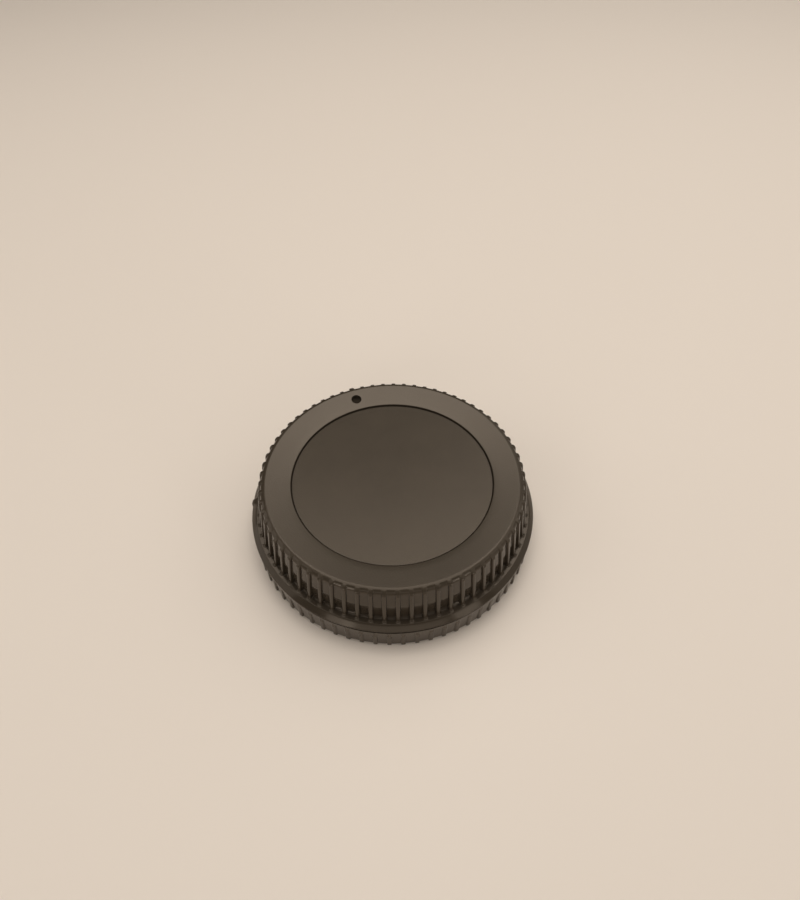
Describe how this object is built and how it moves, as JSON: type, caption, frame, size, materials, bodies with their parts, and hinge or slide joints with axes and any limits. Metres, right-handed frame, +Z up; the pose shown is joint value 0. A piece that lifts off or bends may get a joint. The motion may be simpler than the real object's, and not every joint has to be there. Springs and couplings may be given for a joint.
{
  "type": "camera body cap locked to a rear lens cap",
  "caption": "Low round camera body cap, face down, locked by its bayonet to a rear lens cap, in dark matte plastic with ribbed grips and a stepped round panel.",
  "frame": {"origin": "on the bayonet axis, at the level of the surface that the body cap's outer face lies on", "axes": "+Z up along the bayonet axis, from the body cap's outer face towards the rear lens cap's face; +X to the right of someone who looks at the front, with the rear lens cap's index dimple at the back, a little left of the middle"},
  "size_m": [0.0623, 0.062, 0.0161],
  "materials": {
    "body_cap_plastic": "dark warm grey moulded plastic, fine spark-eroded texture on the faces, semi-matt ribs",
    "lens_cap_plastic": "dark warm grey moulded plastic, fine spark-eroded texture on the faces, semi-matt ribs"
  },
  "bodies": {
    "root": {"body_cap": "body_cap_plastic"},
    "upper_cap": {"rear_lens_cap": "lens_cap_plastic"}
  },
  "joints": [
    {"name": "bayonet_twist", "type": "hinge", "parent": "root", "child": "upper_cap", "pos_m": [0, 0, 0], "axis": [0, 0, 1], "range_deg": [0, 60]}
  ]
}
